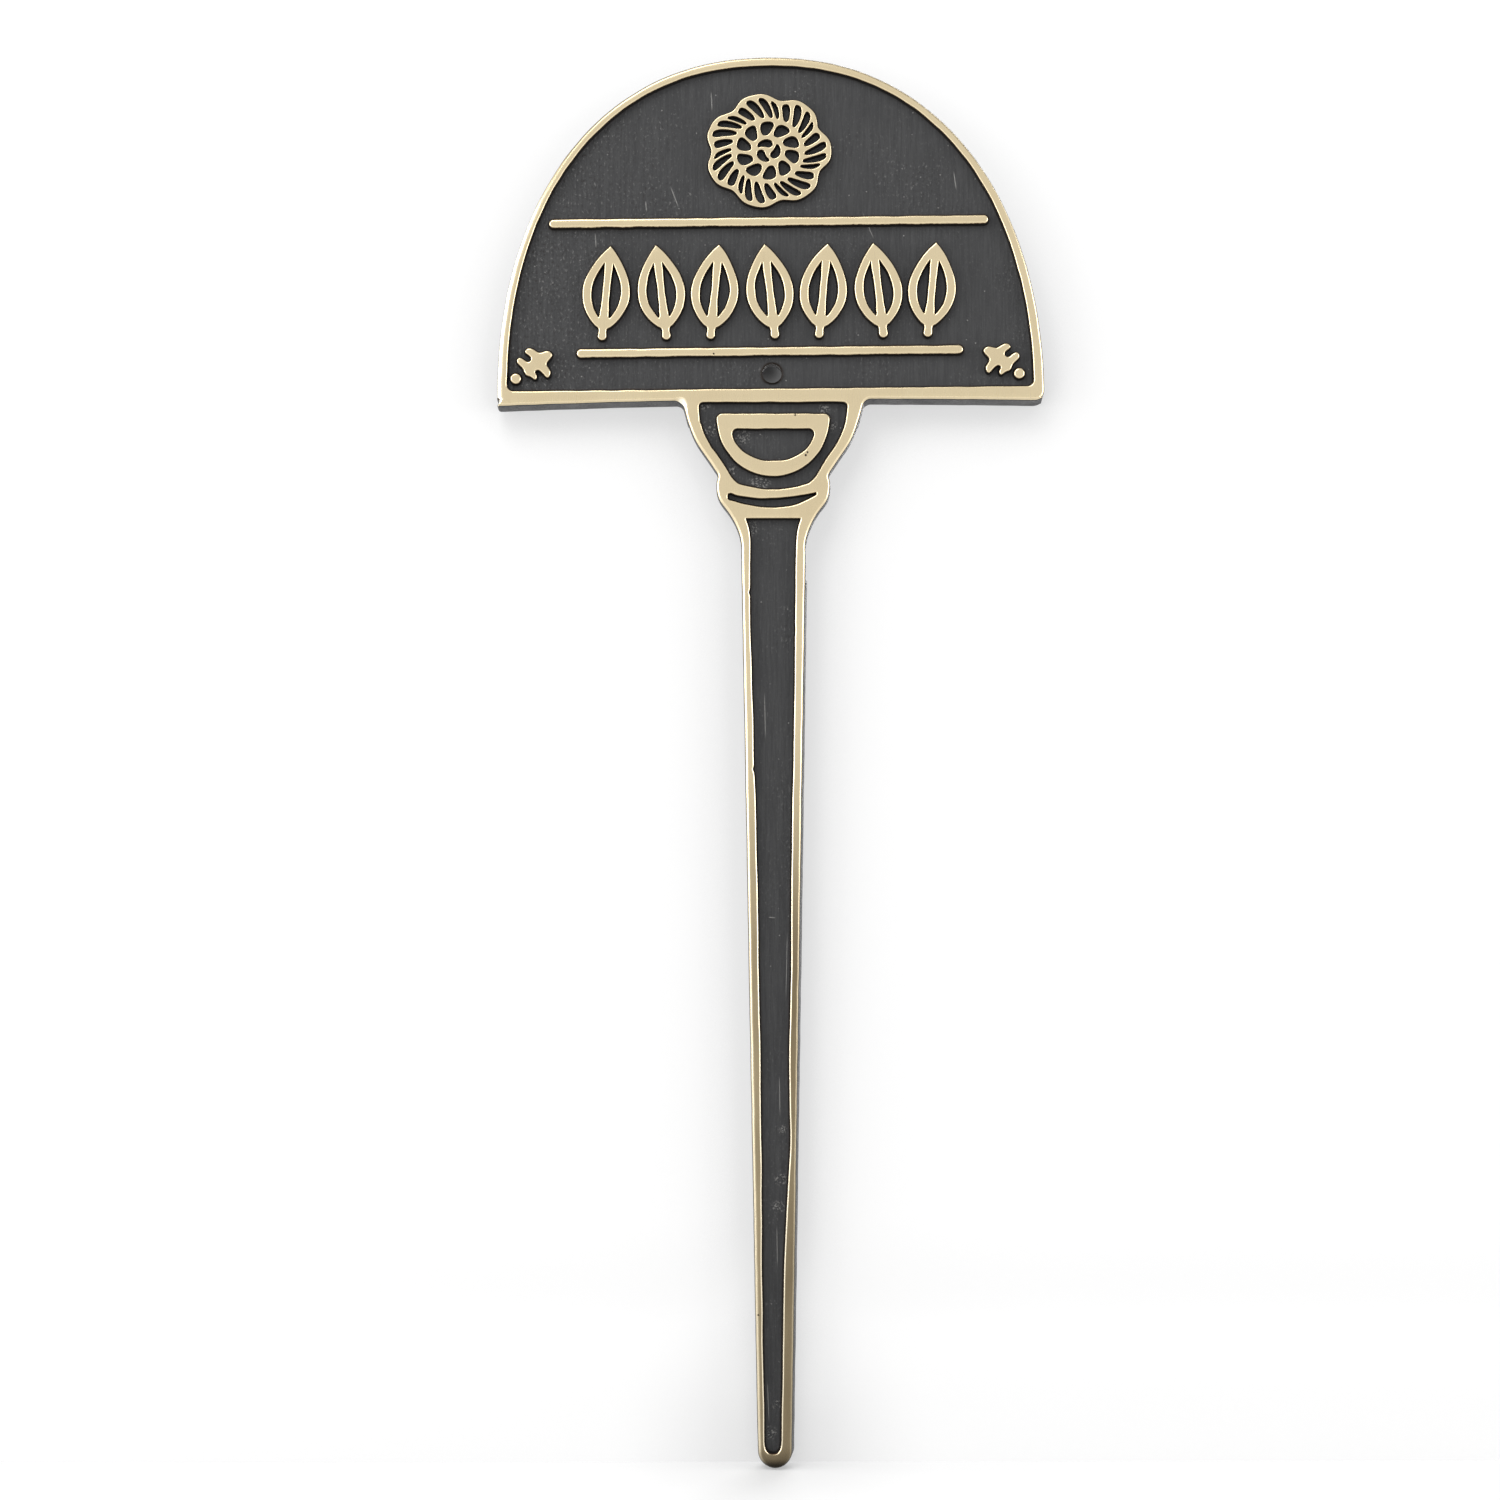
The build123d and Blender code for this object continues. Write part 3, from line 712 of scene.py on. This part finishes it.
def brass_colour(s, down, streaks, pits, seam, inked):
    """Bright on the head, darker and browner down the stake, with painted highlights on edges, painted
    shade on the upper left edge and at the tip, and black paint on walls.
    """
    height = s.axis("Z")
    filed_and_painted_light = s.attribute(FILED_AND_LIGHT_MARK)
    side = s.span(s.axis("X"), *RAILS, LEFT_RAIL_SHARE, 1.0)
    uneven = s.span(s.noise(*BRASS_PATCHES), *UNEVEN_PATCHES, 1.0, UNEVEN_SHARE)
    return s.layered(BRIGHT_BRASS, (
        (s.span(s.noise(*BRASS_CLOUDS), *WARM_CLOUDS, 0.0, WARM_SHARE), WARM_BRASS),
        (s.product(down, uneven, side), DARK_BROWN_BRASS),
        (s.span(streaks, *TARNISHED_STREAKS, 0.0, STREAK_SHARE), DARK_BROWN_BRASS),
        # Painted shade dulls the upper left edge, and painted highlights brighten rubbed and filed edges
        (s.span(filed_and_painted_light, *DULL_SHADE_MARKS, DULL_SHADE_SHARE, 0.0), DARK_BROWN_BRASS),
        (s.span(filed_and_painted_light, *RUBBED_HIGHLIGHT_MARKS), RUBBED_HIGHLIGHT_BRASS),
        (s.span(filed_and_painted_light, *FILED_HIGHLIGHT_MARKS), FILED_HIGHLIGHT_BRASS),
        # Painted shade at the tip and on its bottom edge
        (s.span(height, *TIP_SHADE_HEIGHTS, TIP_SHADE_SHARE, 0.0), PIT_AND_SHADE_DARK),
        (s.span(height, *TIP_EDGE_SHADE_HEIGHTS, TIP_EDGE_SHADE_SHARE, 0.0), WALL_AND_SHADE_BLACK),
        (pits, PIT_AND_SHADE_DARK),
        (seam, SEAM_BROWN),
        (inked, WALL_AND_SHADE_BLACK)))


def brass():
    """Linished cast brass, its walls painted over from a ragged brown seam down."""
    s = Shading(bpy.data.materials.new("brass"))
    streaks, grain = s.noise(*BRASS_STREAKS), s.noise(*BRASS_GRAIN)
    down = s.span(s.axis("Z"), *DARKENING_HEIGHTS, 1.0, 0.0)
    pits = s.math("GREATER_THAN", s.math("SUBTRACT", s.spots(PITS), s.product(grain, PIT_RAGGED)), 0.0)
    ragged = s.span(s.noise(*RAGGED_EDGE), *MOST_OF_RANGE, -RAGGED, RAGGED)
    deep = s.total(s.attribute(INK_AND_SHADE_MARK), ragged)
    seam, inked = s.span(deep, *SEAM_DEPTHS), s.span(deep, *INKED_DEPTHS)
    rough = s.total(s.span(streaks, *MOST_OF_RANGE, *BRASS_ROUGH), s.product(down, FOOT_ROUGHER))
    relief = s.total(s.product(streaks, STREAK_RELIEF), s.product(grain, GRAIN_RELIEF),
                     s.product(pits, PIT_RELIEF))
    return s.show(s.node("BsdfPrincipled", {
        "Base Color": brass_colour(s, down, streaks, pits, seam, inked),
        "Metallic": s.math("SUBTRACT", 1.0, seam), "Roughness": s.blend(seam, rough, SEAM_ROUGH),
        "Specular IOR Level": BRASS_SPECULAR, "Normal": s.bump(relief, BRASS_BUMP)}).outputs[0])


# Enamel

def specks(s):
    """Small round specks in some cells of the paint."""
    cells = s.node("TexVoronoi", {"Vector": s.place(), "Scale": SPECK_CELLS, "Randomness": 1.0}).outputs
    chance = s.node("SeparateColor", {0: cells["Color"]}).outputs[0]
    filled = s.math("GREATER_THAN", chance, SPECK_CHANCE)
    return s.product(s.span(cells["Distance"], *SPECK_EDGE, 1.0, 0.0), filled)


def rubs(s):
    """Scratches and scuffs, broken up by fine grain."""
    fine = s.noise(*FINE_GRAIN)
    scratched = s.product(s.lines(SCRATCHES, SCRATCH_WIDTH), s.span(fine, *SCRATCH_GRAIN))
    uneven = s.span(fine, *SCUFF_GRAIN, 0.0, SCUFF_STRENGTH)
    return s.most(scratched, s.math("MULTIPLY", s.spots(SCUFFS), uneven, clamp=True))


def enamel(name, cast):
    """Brushed black enamel, pebbly in zones with painted glints and painted shade, and painted shade by
    the walls. On the back it lies over the casting's sandy skin.
    """
    s = Shading(bpy.data.materials.new(name))
    brushed, clouds, pebbles = s.noise(*BRUSHED), s.noise(*PAINT_CLOUDS), s.noise(*PEBBLES)
    speck = specks(s)
    by_side = BACK_PEBBLES if cast else s.span(s.axis("X"), *PEBBLY_SIDE, LEFT_PEBBLES, 0.0)
    zone = s.total(s.span(s.noise(*PEBBLE_ZONES), *ZONE_EDGES, 0.0, ZONE_PEBBLES), by_side)
    # Painted glints on the pebbles' tops and painted shade in their hollows
    painted_glints = s.product(s.span(pebbles, *PEBBLE_TOPS, 0.0, PAINTED_GLINT_SHARE), s.total(zone, STRAY_PAINTED_GLINTS))
    hollows = s.product(s.span(pebbles, *PEBBLE_FEET, PEBBLE_SHADE_SHARE, 0.0), zone)
    layers = [(s.span(clouds, *DARK_CLOUDS, 0.0, CLOUD_SHARE), PAINT_DARK),
              (s.product(speck, SPECK_SHARE), PAINT_SCUFF_AND_GLINT), (painted_glints, PAINT_SCUFF_AND_GLINT),
              (hollows, PAINT_SHADED)]
    relief = s.total(s.product(brushed, BRUSHED_RELIEF), s.noise(*ORANGE_PEEL),
                     s.product(pebbles, s.span(zone, 0.0, 1.0, *PEBBLE_RELIEF)),
                     s.product(speck, SPECK_RELIEF))
    if cast:
        sand = s.noise(*SAND)
        relief = s.total(relief, s.product(sand, SAND_RELIEF))
        rub = s.product(s.span(sand, *SAND_TOPS), s.span(clouds, *RUBBED_CLOUDS, 0.0, RUB_SHARE))
        layers.append((rub, PAINT_SCUFF_AND_GLINT))
    else:
        marks = rubs(s)
        relief = s.total(relief, marks)
        # Painted shade where the paint meets the walls
        layers += [(marks, PAINT_SCUFF_AND_GLINT), (s.attribute(INK_AND_SHADE_MARK), PAINT_SHADED)]
    ground = s.mix(s.span(brushed, *MOST_OF_RANGE), PAINT_DARK, PAINT_GREY)
    rough = s.span(clouds, *MOST_OF_RANGE, *PAINT_ROUGH)
    return s.show(s.node("BsdfPrincipled", {
        "Base Color": s.layered(ground, layers), "Roughness": rough,
        "Specular IOR Level": PAINT_SPECULAR, "Normal": s.bump(relief, PAINT_BUMP)}).outputs[0])


BRASS = brass()
ENAMEL = enamel("enamel", False)
CAST_ENAMEL = enamel("cast_enamel", True)


# Pieces

def lean(loop):
    """How far each point of the outline's wall slopes out by the back: most under the head."""
    facing, height = normals(loop), loop[:, 1]
    right, left = np.clip(facing[:, 0], 0, 1), np.clip(-facing[:, 0], 0, 1)
    down = np.clip(-facing[:, 1], 0, 1)
    slope = SIDE_DRAFT + RIGHT_DRAFT * right + LEFT_DRAFT * left
    slope += STAKE_DRAFT * right * (height < NECK_FOOT)
    slope += TIP_DRAFT * down * (height < TIP_TOP)
    return slope + BASE_DRAFT * down * (height > UNDER_HEAD)


def draft_at(slope, y):
    return slope * (y - FACE_Y) / (CASTING_BACK_Y - FACE_Y)


def filing_and_light(loop):
    """How much of the filing and its painted highlight each point of the outline has: all of it on the
    head's left.
    """
    left = np.clip(-FILED_AND_LIT_SPREAD * normals(loop)[:, 0], 0, 1)
    return left * np.interp(loop[:, 1], FILED_AND_LIT_HEIGHTS, FILED_AND_LIT_SHARES)


def edge_steps(outline):
    """Steps round the outer edge, broader where it is filed, and down the wall to the casting's back,
    with the painted highlight and shade marked on them.
    """
    filed_and_painted_light = filing_and_light(outline)
    edge_light = np.maximum(filed_and_painted_light, EDGE_HIGHLIGHT_ELSEWHERE) - np.interp(outline[:, 1], DULL_SHADE_HEIGHTS, (0, DULL_SHADE))
    slope = lean(outline)
    steps = []
    for share, drop in round_over(1.0, 0.0):
        y = FACE_Y + drop * (OUTER_ROUND + FILED_DEPTH * filed_and_painted_light)
        # The edge's painted highlight grows round the curve
        amount = edge_light * np.clip(drop * EDGE_LIGHT_RISE + 0.5 * (share + 1), 0, 1)
        steps.append((share * (OUTER_ROUND + FILED_REACH * filed_and_painted_light) + draft_at(slope, y), y, 0, amount))
    for y, inset in ((COAT_FRONT_Y + BARE_WALL, 0), (CASTING_BACK_Y - COVERED_WALL, UNDER_COAT)):
        steps.append((draft_at(slope, y) - inset, y, 0, edge_light))
    return steps + [(slope - UNDER_COAT, CASTING_BACK_Y, 0, 0)]


def casting_body(outline, pockets, screw_hole):
    """The plate with its rim, neck and rails. Pockets are (clockwise outline, crest highlight), the head
    first.
    """
    made = Builder()
    face, back = made.wall(outline, edge_steps(outline))
    rims = [face]
    bores = made.wall(screw_hole, [(-BORE_CHAMFER, FLOOR_Y, 1, 0), (0, FLOOR_Y + BORE_CHAMFER, 1, 0),
                                   (0, CASTING_BACK_Y, 1, 0)])
    for number, (pocket, crest_highlight) in enumerate(pockets):
        rim, floor = made.wall(pocket, relief_wall(pocket, INNER_ROUND, FLOOR_Y, crest_highlight))
        rims.append(rim)
        made.cap([floor, bores[0]] if number == 0 else [floor])
    made.cap(rims)
    made.cap([back, bores[1]])
    return made.build("casting_body", BRASS)


def island(name, outline, holes, radius):
    """A raised shape that stands on the casting's floor, with its own hollows."""
    made = Builder()
    loops = [turned(outline, 1)] + [turned(hole, -1) for hole in holes]
    bottom = FLOOR_Y + FOOT_SINK
    walls = [made.wall(loop, relief_wall(loop, room, bottom, CREST_HIGHLIGHT))
             for loop, room in spaced(loops, radius)]
    made.cap([wall[0] for wall in walls])
    made.cap([wall[1] for wall in walls])
    return made.build(name, BRASS)


def skirt(reach):
    """Steps of a pool's edge, from its flat middle up the wall and down behind it."""
    steps = [(-reach, FILM_Y, 0, 0)]
    steps += [(-share * reach, FILM_Y - rise, ink_and_shade, 0) for share, rise, ink_and_shade in POOL_RISE]
    return steps + [(POOL_TUCK, FILM_Y - POOL_TOP, 1, 0), (POOL_TUCK, FLOOR_Y + POOL_BOTTOM, 1, 0)]


def pool(name, node, loops, islands, reach):
    """Paint in a recess, drawn up a little where it meets the walls, and darker there with painted
    shade.
    """
    made = Builder()
    for loop in loops:
        edges = [turned(loop, 1)] + [turned(inner, -1) for inner in islands]
        rings = [made.wall(edge, skirt(room)) for edge, room in spaced(edges, min(reach, slim(loop)))]
        made.cap([ring[0] for ring in rings])
        made.cap([ring[1] for ring in rings])
    piece = made.build(name, ENAMEL)
    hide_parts(node)


def coat(outline, screw_hole):
    """Enamel over the edge and the back, up to a lip short of the face."""
    made = Builder()
    lip = COAT_FRONT_Y + (FILED_DEPTH + LIP_DROP) * filing_and_light(outline)
    slope = lean(outline)
    at_lip = draft_at(slope, lip)
    steps = [(at_lip - TUCK, lip)] + [(at_lip + share * SKIN, lip + drop) for share, drop in LIP_STEPS]
    steps += [(slope + SKIN - BACK_ROUND * (1 - cosine), BACK_Y - BACK_ROUND * (1 - sine))
              for sine, cosine in quarter_turn()]
    outside = made.wall(outline, plain(steps))
    inside = made.wall(outline, plain([
        (at_lip - TUCK, lip), (slope - TUCK, CASTING_BACK_Y - INNER_CHAMFER),
        (slope - INNER_CHAMFER, CASTING_BACK_Y - TUCK)]))
    bore = made.wall(screw_hole, plain([(0, CASTING_BACK_Y - TUCK), (0, BACK_Y - BORE_EDGE),
                                        (-BORE_EDGE, BACK_Y)]))
    made.cap([inside[1], bore[0]])
    made.cap([outside[1], bore[1]])
    piece = made.build("back_and_edge_coat", CAST_ENAMEL)
    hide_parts("back_and_edge_enamel")


def by_size(node, level=FILM_Y, facing=-1):
    return sorted(film_loops(node, level, facing), key=lambda loop: -abs(area(loop)))


def from_left(loops):
    return sorted(loops, key=lambda loop: centre(loop)[0])


def cut(node, waves, dents=()):
    """A node's outlines, largest first, smoothed and cut unevenly."""
    return [wobbled(smoothed(loop, FINE_STEP), *waves, dents) for loop in by_size(node)]


outer, outer_hole = by_size("back_and_edge_enamel", BACK_Y, 1)
outline = grown(smoothed(turned(outer, 1), COARSE_STEP), -(PAINT_THICK + DRAFT_ROOM + OUTER_WOBBLE))
outline = wobbled(outline, OUTER_WOBBLE, OUTER_SPAN, CORNER_DENTS)
screw_hole = smoothed(turned(outer_hole, -1), FINE_STEP)

# By size: the recess, the rosette, two bars, seven leaves, two ivy leaves, the screw hole, two dots
ground = cut("head_ground_enamel", GROUND_WAVES)
recess, rosette, upper_bar, lower_bar = ground[:4]
leaves, ivies, dots = from_left(ground[4:11]), from_left(ground[11:13]), from_left(ground[14:16])
neck_pocket, moon = cut("neck_recess_enamel", NECK_WAVES, NECK_DENTS)
moon_hollow, = cut("half_moon_enamel", MOON_WAVES)
groove, = cut("collar_groove_enamel", GROOVE_WAVES, GROOVE_DENTS)
channel, = cut("stake_channel_enamel", CHANNEL_WAVES, CHANNEL_DENTS)
leaf_nodes = [f"leaf_{i + 1}_enamel" for i in range(len(leaves))]
leaf_cells = [cut(node, LEAF_WAVES) for node in leaf_nodes]
cell_nodes = [f"rosette_lobe_{i}_enamel" for i in range(1, 8)]
cell_nodes += ["rosette_inner_ring_enamel", "rosette_heart_enamel"]
cells = [[grown(turned(smoothed(loop, CELL_STEP), 1), CELL_SWELL) for loop in by_size(node)]
         for node in cell_nodes]

pockets = [(turned(recess, -1), CREST_HIGHLIGHT), (turned(neck_pocket, -1), CREST_HIGHLIGHT),
           (turned(groove, -1), CREST_HIGHLIGHT), (turned(channel, -1), RAIL_CREST_HIGHLIGHT)]
brass_pieces = [casting_body(outline, pockets, screw_hole)]
brass_pieces.append(island("upper_bar", upper_bar, [], BAR_ROUND))
brass_pieces.append(island("lower_bar", lower_bar, [], BAR_ROUND))
for i, (leaf, hollows) in enumerate(zip(leaves, leaf_cells)):
    brass_pieces.append(island(f"leaf_{i + 1}", leaf, hollows, LEAF_ROUND))
brass_pieces.append(island("rosette", rosette, sum(cells, []), ROSETTE_ROUND))
for side, ivy, dot in zip(("left", "right"), ivies, dots):
    brass_pieces.append(island(f"{side}_ivy_leaf", grown(turned(ivy, 1), IVY_SWELL), [], IVY_ROUND))
    brass_pieces.append(island(f"{side}_dot", dot, [], DOT_ROUND))
brass_pieces.append(island("half_moon_ring", moon, [moon_hollow], MOON_ROUND))
for piece in brass_pieces:
    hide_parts("brass_casting")

pool("head_ground_paint", "head_ground_enamel", [recess], ground[1:], WIDE_CLIMB)
pool("neck_paint", "neck_recess_enamel", [neck_pocket], [moon], WIDE_CLIMB)
pool("half_moon_paint", "half_moon_enamel", [moon_hollow], [], WIDE_CLIMB)
pool("groove_paint", "collar_groove_enamel", [groove], [], GROOVE_CLIMB)
pool("channel_paint", "stake_channel_enamel", [channel], [], WIDE_CLIMB)
for node, hollows in zip(leaf_nodes, leaf_cells):
    pool(node.replace("enamel", "paint"), node, hollows, [], LEAF_CLIMB)
for node, hollows in zip(cell_nodes, cells):
    pool(node.replace("enamel", "paint"), node, hollows, [], CELL_CLIMB)
coat(outline, screw_hole)


# Stage

def plane(name, corners, material):
    mesh = bpy.data.meshes.new(name)
    mesh.from_pydata(corners, [], [(0, 1, 2, 3)])
    made = bpy.data.objects.new(name, mesh)
    bpy.context.scene.collection.objects.link(made)
    mesh.materials.append(material)


def openness(s, corner):
    """How open the paper lies: less close to the object, and less where round shadows are painted behind
    its hole and round its foot.

    The corner picks the axis along which the sheet leaves the corner of floor and backdrop. What
    that corner hides by itself is given back."""
    hidden = s.node("AmbientOcclusion", {"Distance": SHADOW_REACH}, samples=SHADOW_SAMPLES)
    from_corner = s.apart(s.place(corner), (0, 0, 0))
    given_back = s.span(from_corner, 0.0, SHADOW_REACH / MM, CORNER_SHARE, 0.0)
    least = s.span(s.axis("Z"), HEAD_FOOT, TOP, SHADOW_LEAST, TOP_LEAST)
    inputs = {"Value": s.total(hidden.outputs["AO"], given_back), "From Min": SHADOW_FROM,
              "From Max": 1.0, "To Min": least, "To Max": 1.0}
    # Round painted shadows behind the screw hole and round the foot
    hole = centre(screw_hole) + HOLE_SHADOW_OFFSET
    painted_hole_shadow = s.math("SUBTRACT", 1.0, s.spots(((*hole, HOLE_SHADOW_RADIUS),)))
    painted_foot_shadow = s.span(s.apart(s.place(), (0, 0, 0)), *FOOT_SHADOW_DISTANCES, FOOT_SHADOW_LEAST, 1.0)
    return s.product(s.node("MapRange", inputs).outputs[0], painted_hole_shadow, painted_foot_shadow)


def pale(name, paper_glow, shade, corner, one_sided):
    """White paper: most of its brightness is its own, held back where the object stands close."""
    s = Shading(bpy.data.materials.new(name))
    away = s.apart(s.place(), (0, 0, LIT[2] / MM))
    glow = s.product(s.seen(), openness(s, corner), s.span(away, *FAR_DISTANCES, paper_glow, 1.0))
    emission = s.node("Emission", {"Strength": glow}).outputs[0]
    paper = s.node("BsdfDiffuse", {"Color": (shade, shade, shade, 1)}).outputs[0]
    both = s.node("AddShader", {0: emission, 1: paper}).outputs[0]
    if one_sided:
        front = s.math("SUBTRACT", 1.0, s.node("NewGeometry").outputs["Backfacing"])
        shown = s.product(front, s.node("LightPath").outputs["Is Camera Ray"])
        clear = s.node("BsdfTransparent").outputs[0]
        both = s.node("MixShader", {0: shown, 1: clear, 2: both}).outputs[0]
    return s.show(both)


plane("floor", [(-FLOOR_REACH, -FLOOR_REACH, 0), (FLOOR_REACH, -FLOOR_REACH, 0),
                (FLOOR_REACH, FLOOR_REACH, 0), (-FLOOR_REACH, FLOOR_REACH, 0)],
      pale("floor_white", FLOOR_GLOW, FLOOR_SHADE, (0, 1, 0), False))
plane("backdrop", [(-BACKDROP_REACH, BACKDROP_Y, 0), (BACKDROP_REACH, BACKDROP_Y, 0),
                   (BACKDROP_REACH, BACKDROP_Y, BACKDROP_TOP),
                   (-BACKDROP_REACH, BACKDROP_Y, BACKDROP_TOP)],
      pale("backdrop_white", BACKDROP_GLOW, BACKDROP_SHADE, (0, 0, 1), True))


# Light

def world():
    """A sky that is white where it is seen and dimmer as a light."""
    made = bpy.data.worlds.new("studio")
    bpy.context.scene.world = made
    s = Shading(made, "OutputWorld")
    inputs = {"Value": s.seen(), "To Min": SKY_LIGHT, "To Max": SKY_SEEN}
    strength = s.node("MapRange", inputs).outputs[0]
    s.show(s.node("Background", {"Color": (1, 1, 1, 1), "Strength": strength}).outputs[0])


def lamp(name, place, size, power):
    """A square window that looks at the object's middle."""
    data = bpy.data.lights.new(name, "AREA")
    data.shape = "SQUARE"
    data.size = size
    data.energy = power
    made = bpy.data.objects.new(name, data)
    bpy.context.scene.collection.objects.link(made)
    made.location = place
    made.rotation_euler = (Vector(LIT) - Vector(place)).to_track_quat("-Z", "Y").to_euler()


world()
for settings in LAMPS:
    lamp(*settings)

# Camera
camera_data = bpy.data.cameras.new("camera")
camera_data.sensor_width = SENSOR
camera_data.lens = SENSOR * CAMERA_DISTANCE / VIEW_WIDTH
camera = bpy.data.objects.new("camera", camera_data)
bpy.context.scene.collection.objects.link(camera)
camera.location = (CAMERA_X, FACE_Y * MM - CAMERA_DISTANCE, CAMERA_Z)
camera.rotation_euler = (CAMERA_PITCH, CAMERA_ROLL, 0)
bpy.context.scene.camera = camera
bpy.context.scene.view_settings.view_transform = "Standard"
